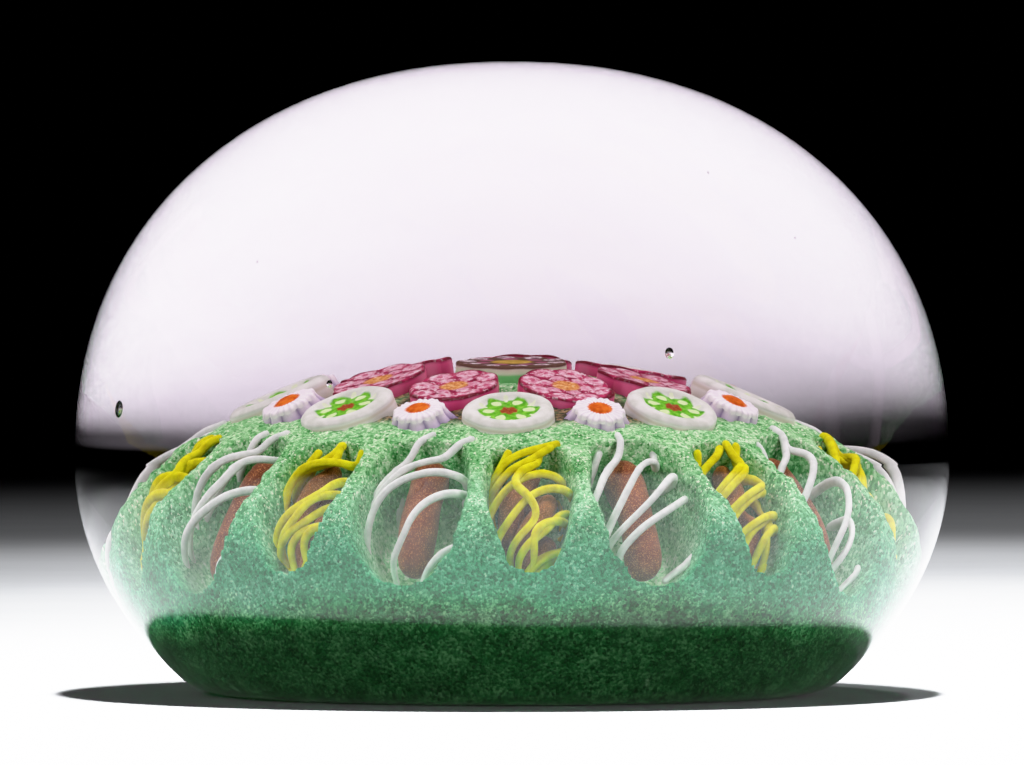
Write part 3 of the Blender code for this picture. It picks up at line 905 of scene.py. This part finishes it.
def pink_relief(share, angle):
    """Relief of a pink cane's top."""
    outer = (0.5 + 0.5 * np.cos(angle * 8)) * smoothstep(0.5, 0.75, share)
    band = smoothstep(0.22, 0.4, share) * (1 - smoothstep(0.45, 0.6, share))
    inner = (0.5 + 0.5 * np.cos(angle * 6 + 1.6)) * band
    return outer * 0.00005 + inner * 0.00006 - 0.00004 * (1 - share)


def centre_relief(share, angle):
    """Relief of the centre cane's top."""
    return (0.5 + 0.5 * np.cos(angle * 10)) * smoothstep(0.6, 0.85, share) * 0.00005 - 0.00002


CANE_KINDS = {
    "centre_cane": dict(radius=CENTRE_CANE_RADIUS, lobes=10, lobe_depth=0.05, relief=centre_relief,
        bell=(1.12, 1.16), ragged=0.02, rim=0.00012, sink=0.00035, lean=0.0),
    "pink_cane": dict(radius=PINK_CANE_RADIUS, lobes=8, lobe_depth=0.07, relief=pink_relief,
        bell=(1.14, 1.12), ragged=0.035, rim=0.00012, sink=0.0003, lean=4.0),
    "star_cane": dict(radius=STAR_CANE_RADIUS, lobes=0, lobe_depth=0.0, relief=star_relief,
        bell=(1.15, 1.19), ragged=0.02, rim=0.00022, sink=0.0, lean=2.0),
    "daisy_cane": dict(radius=DAISY_CANE_RADIUS, lobes=10, lobe_depth=0.11, relief=daisy_relief,
        bell=(0.84, 1.30), ragged=0.02, rim=0.00022, sink=-0.0002, lean=5.0),
}


def cane_places():
    """Kind, node, ring radius and azimuth of each cane."""
    places = [("centre_cane", "centre_cane", 0.0, 0.0)]
    for i in range(RING_COUNT):
        star_azimuth = math.radians(RING_OFFSET_DEG) + math.tau * i / RING_COUNT
        between = star_azimuth + math.pi / RING_COUNT
        places.append(("pink_cane", f"pink_cane_{i + 1}", PINK_RING_RADIUS, between))
        places.append(("star_cane", f"star_cane_{i + 1}", STAR_RING_RADIUS, star_azimuth))
        places.append(("daisy_cane", f"daisy_cane_{i + 1}", DAISY_RING_RADIUS, between))
    return places


def make_canes():
    """Every cane in its place, each with its own lean."""
    looks = {
        "centre_cane": centre_material(),
        "pink_cane": pink_material(),
        "star_cane": star_material(),
        "daisy_cane": daisy_material(),
    }
    for order, (kind, node, ring, azimuth) in enumerate(cane_places()):
        shape = dict(CANE_KINDS[kind])
        sink, lean = shape.pop("sink"), shape.pop("lean")
        obj = cane_mesh("slice_" + node, material=looks[kind], seed=100 + order, **shape)
        tilt = np.radians(np.random.default_rng(200 + order).uniform(-lean, lean, 2))
        tilted = Matrix.Rotation(tilt[0], 4, "X") @ Matrix.Rotation(tilt[1], 4, "Y")
        obj.matrix_world = square_to_cushion(ring, azimuth, sink) @ tilted
        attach(obj, "root")
        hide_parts(node)


# ---- twisted rods


def rod_frame(degrees, arc, azimuth):
    """Centre line points, outward and sideways directions of a rod at these angles of its arc."""
    angle = np.radians(degrees)
    out = ARC_OUT + arc * np.cos(angle)
    up = ARC_UP + arc * np.sin(angle)
    forward = np.array([math.sin(azimuth), -math.cos(azimuth), 0.0])
    sideways = np.array([math.cos(azimuth), math.sin(azimuth), 0.0])
    points = out[:, None] * forward + up[:, None] * np.array([0, 0, 1.0])
    outward = np.cos(angle)[:, None] * forward + np.sin(angle)[:, None] * np.array([0, 0, 1.0])
    return points, outward, np.broadcast_to(sideways, points.shape)


def frit_distance(degrees):
    """How far the frit's surface is from the centre of the rods' arc, at each angle of the arc."""
    angle = np.radians(degrees)
    distance = np.full(np.shape(degrees), 0.013)
    for _ in range(12):
        radius = ARC_OUT + distance * np.cos(angle)
        height = FRIT_HEIGHT - FRIT_CAP_RADIUS + np.sqrt(FRIT_CAP_RADIUS**2 - radius**2)
        distance = (height - ARC_UP) / np.sin(angle)
    return distance


def rod_reach(degrees, along):
    """The rod's radius at each angle of its arc."""
    angles = np.array([a for a, _ in along][::-1], float)
    widths = np.array([w for _, w in along][::-1])
    return np.interp(degrees, angles, widths)


def wound_thread(kind, azimuth, start_spin, noise, sides=9):
    """A thread wound on a rod: it comes up over the frit at the top and turns under the rod's lower end."""
    arc, along, thickness = kind["arc"], kind["along"], kind["thickness"]
    front = max(0.0, math.cos(start_spin))
    top_deg = along[0][0] + kind["lead"] * front + noise.uniform(-1.5, 1.5)
    end_deg = along[-1][0] + kind["tail"] - noise.uniform(0, 3)
    degrees = np.linspace(top_deg, end_deg, 56)
    points, outward, sideways = rod_frame(degrees, arc, azimuth)
    run = (along[0][0] - degrees) / (along[0][0] - along[-1][0])
    wander = noise.uniform(0, 6, 4)
    turning = kind["turns"] * math.tau * np.clip(run, -0.3, 2)
    spin = start_spin - turning * (1 + kind["tangle"] * math.sin(wander[3]))
    spin = spin + kind["wander"] * (np.sin(run * 5 + wander[0]) + 0.45 * np.sin(run * 11 + wander[1]))
    closing = 1 - (1 - kind["closed"]) * smoothstep(0.80, 1.08, run)
    reach = rod_reach(degrees, along) * kind["share"] - thickness
    reach = reach * (1 + 0.09 * np.sin(run * 7 + wander[2])) * closing
    rise = np.cos(spin) * reach
    over = smoothstep(0.10, -0.10, run) * front
    rise = rise + (frit_distance(np.maximum(degrees, 45)) + THREAD_LIFT - arc - rise) * over
    path = points + rise[:, None] * outward + (np.sin(spin) * reach)[:, None] * sideways
    taper = (1 - 0.30 * smoothstep(0.85, 1.1, run)) * (1 - 0.35 * smoothstep(-0.1, -0.45, run))
    return swept(path, thickness * taper * (1 + 0.07 * np.sin(run * 9 + wander[0])), sides)


def wound_strands(kind, azimuth, noise, sides=9):
    """All the strands of one kind on one rod, spaced unevenly round it."""
    first = noise.uniform(0, math.tau)
    strands = []
    for j in range(kind["count"]):
        start = (first + math.tau * (j + noise.uniform(-0.28, 0.28)) / kind["count"]) % math.tau
        strands.append(wound_thread(kind, azimuth, start, noise, sides))
    return joined(strands)


ROD_KINDS = {
    "white": dict(offset=WHITE_ROD_OFFSET_DEG, arc=WHITE_ARC, along=WHITE_ALONG,
                  thickness=0.00027, count=7, share=1.0, turns=0.47, tangle=0.25, wander=0.26,
                  lead=9, tail=1.0, closed=0.66),
    "yellow": dict(offset=YELLOW_ROD_OFFSET_DEG, arc=YELLOW_ARC, along=YELLOW_ALONG,
                   thickness=0.00029, count=13, share=1.0, turns=0.50, tangle=0.45, wander=0.48,
                   lead=4, tail=0.0, closed=0.60),
}
RIBBON = dict(ROD_KINDS["yellow"], thickness=0.00074, count=3, share=0.66, turns=0.60, tangle=0.2,
              wander=0.25, lead=-3, tail=2.0, closed=0.75)
CORE_DEG, CORE_LIFT, CORE_RADIUS = (60, 23), 0.0006, 0.00130


def make_rods():
    """The threads and the core of every rod. The crown's glass stands for the rods' own clear glass."""
    threads_looks = {
        "white": thread_material("white_thread_glass", (0.88, 0.91, 0.86), (0.70, 0.77, 0.70)),
        "yellow": thread_material("yellow_thread_glass", (0.84, 0.83, 0.015), (0.62, 0.57, 0.01)),
    }
    core_looks = {
        "white": aventurine_material("aventurine_core_glass", (0.34, 0.125, 0.060), (0.17, 0.050, 0.024)),
        "yellow": aventurine_material("aventurine_ribbon_glass", (0.40, 0.17, 0.030), (0.17, 0.055, 0.010)),
    }
    for i in range(ROD_PAIRS):
        for colour, kind in ROD_KINDS.items():
            azimuth = math.tau * i / ROD_PAIRS + math.radians(kind["offset"])
            noise = np.random.default_rng((300 if colour == "white" else 400) + i)
            verts, faces = wound_strands(kind, azimuth, noise)
            obj = add_mesh(f"{colour}_threads_{i + 1}", verts, faces, [threads_looks[colour]])
            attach(obj, "root")
            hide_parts(f"{colour}_twist_{i + 1}")

            if colour == "white":
                degrees = np.linspace(*CORE_DEG, 28)
                points, _, _ = rod_frame(degrees, kind["arc"] + CORE_LIFT, azimuth)
                swell = 1 + 0.06 * np.sin(np.linspace(0, 7, 28) + noise.uniform(0, 6))
                verts, faces = swept(points, CORE_RADIUS * swell, 28)
            else:
                verts, faces = wound_strands(RIBBON, azimuth, noise, 14)
            obj = add_mesh(f"{colour}_core_{i + 1}", verts, faces, [core_looks[colour]])
            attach(obj, "root")
            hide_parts(f"{colour}_twist_{i + 1}_core")


# ---- stage


def hidden_lamp(light, place):
    """Puts a lamp in the scene that shows in no reflection and through no glass."""
    obj = bpy.data.objects.new(light.name, light)
    obj.location = place
    obj.visible_glossy = False
    obj.visible_transmission = False
    bpy.context.scene.collection.objects.link(obj)
    return obj


def overhead(name, place, reach, radiance, colour=COOL_WHITE):
    """A round lamp that lights a white floor to this radiance and fades to nothing at this reach."""
    light = bpy.data.lights.new(name, "SPOT")
    light.energy = radiance * 4 * math.pi**2 * LAMP_HEIGHT**2
    light.spot_size = 2 * math.atan(reach / LAMP_HEIGHT)
    light.spot_blend = 1.0
    light.shadow_soft_size = 0.04
    light.color = colour
    return hidden_lamp(light, (*place, LAMP_HEIGHT))


def make_stage():
    """A pale table, its pools of light, the lamps on the object and a dark room."""
    made = Nodes("studio_table")
    grain = made.noise(60, 4.0)
    pale = made.ramp(grain, [(0.3, (0.83, 0.83, 0.84)), (0.7, (0.87, 0.87, 0.88))])
    made.set(Base_Color=pale, Roughness=0.8)
    made.shader.inputs["Specular IOR Level"].default_value = 0.1
    columns = 128
    profile = np.array([(0.02, 0), (0.3, 0), (1.0, 0), (2.4, 0)], float)
    profile[:, 1] = -0.0001
    grid = lathe_grid(profile, columns)
    verts, faces = closed_lathe(grid, (0, 0, -0.0001), (0, 0, -0.01))
    floor = add_mesh("table_top", verts, [f for f in faces if verts.shape[0] - 1 not in f], [made.material])

    table_only = bpy.data.collections.new("table_only")
    table_only.objects.link(floor)
    all_but_table = bpy.data.collections.new("all_but_table")
    all_but_table.objects.link(floor)
    all_but_table.collection_objects[0].light_linking.link_state = "EXCLUDE"
    for pool in FLOOR_POOLS:
        overhead(*pool).light_linking.receiver_collection = table_only
    key = overhead("object_key", (0.0, 0.0), 0.9, OBJECT_LIGHT, (1.0, 1.0, 1.0))
    key.light_linking.receiver_collection = all_but_table
    for i in range(FILL_COUNT):
        azimuth = math.tau * (i + 0.5) / FILL_COUNT
        light = bpy.data.lights.new(f"side_fill_{i + 1}", "AREA")
        light.shape = "DISK"
        light.size = FILL_SIZE
        light.energy = FILL_POWER
        out, up = FILL_DISTANCE * math.cos(FILL_ELEVATION), FILL_DISTANCE * math.sin(FILL_ELEVATION)
        obj = hidden_lamp(light, (out * math.sin(azimuth), -out * math.cos(azimuth), up))
        obj.rotation_euler = Vector(obj.location).to_track_quat("Z", "Y").to_euler()
        obj.visible_camera = False
        obj.light_linking.receiver_collection = all_but_table
    world = bpy.data.worlds.new("dark_studio")
    world.use_nodes = True
    world.node_tree.nodes["Background"].inputs["Color"].default_value = (0.0, 0.0, 0.0, 1.0)
    bpy.context.scene.world = world


def make_camera():
    """A long lens just above the table."""
    distance, height, aim = 0.9, 0.038, 0.0266
    camera = bpy.data.cameras.new("camera")
    camera.sensor_width = 36.0
    camera.lens = 36.0 * distance / 0.0878
    camera.clip_start = 0.01
    camera.clip_end = 20.0
    obj = bpy.data.objects.new("camera", camera)
    obj.location = (0.0, -distance, height)
    obj.rotation_euler = (math.pi / 2 - math.atan2(height - aim, distance), 0.0, 0.0)
    bpy.context.scene.collection.objects.link(obj)
    bpy.context.scene.camera = obj


def soft_highlights(scene):
    """A film-like shoulder: darker tones are kept and the brightest are rolled off gently."""
    scene.view_settings.view_transform = "Standard"
    scene.view_settings.use_curve_mapping = True
    mapping = scene.view_settings.curve_mapping
    mapping.white_level = (SHOULDER_REACH, SHOULDER_REACH, SHOULDER_REACH)
    curve = mapping.curves[3]
    tones = [0.0, 0.35, SHOULDER_START, 0.8, 0.9, 1.0, 1.2, 1.5, 1.9, 2.4, SHOULDER_REACH]
    room = 1 - SHOULDER_START
    points = []
    for tone in tones:
        rolled = SHOULDER_START + room * (1 - math.exp((SHOULDER_START - tone) / room))
        points.append((tone / SHOULDER_REACH, tone if tone < SHOULDER_START else rolled))
    curve.points[0].location = points[0]
    curve.points[1].location = points[-1]
    for point in points[1:-1]:
        curve.points.new(*point)
    mapping.update()


def main():
    """Builds the scene."""
    scene = bpy.context.scene
    soft_highlights(scene)
    scene.cycles.max_bounces = 16
    scene.cycles.transmission_bounces = 12
    scene.cycles.transparent_max_bounces = 12
    make_stage()
    make_camera()
    make_crown()
    make_bubbles()
    make_ground()
    make_canes()
    make_rods()


main()
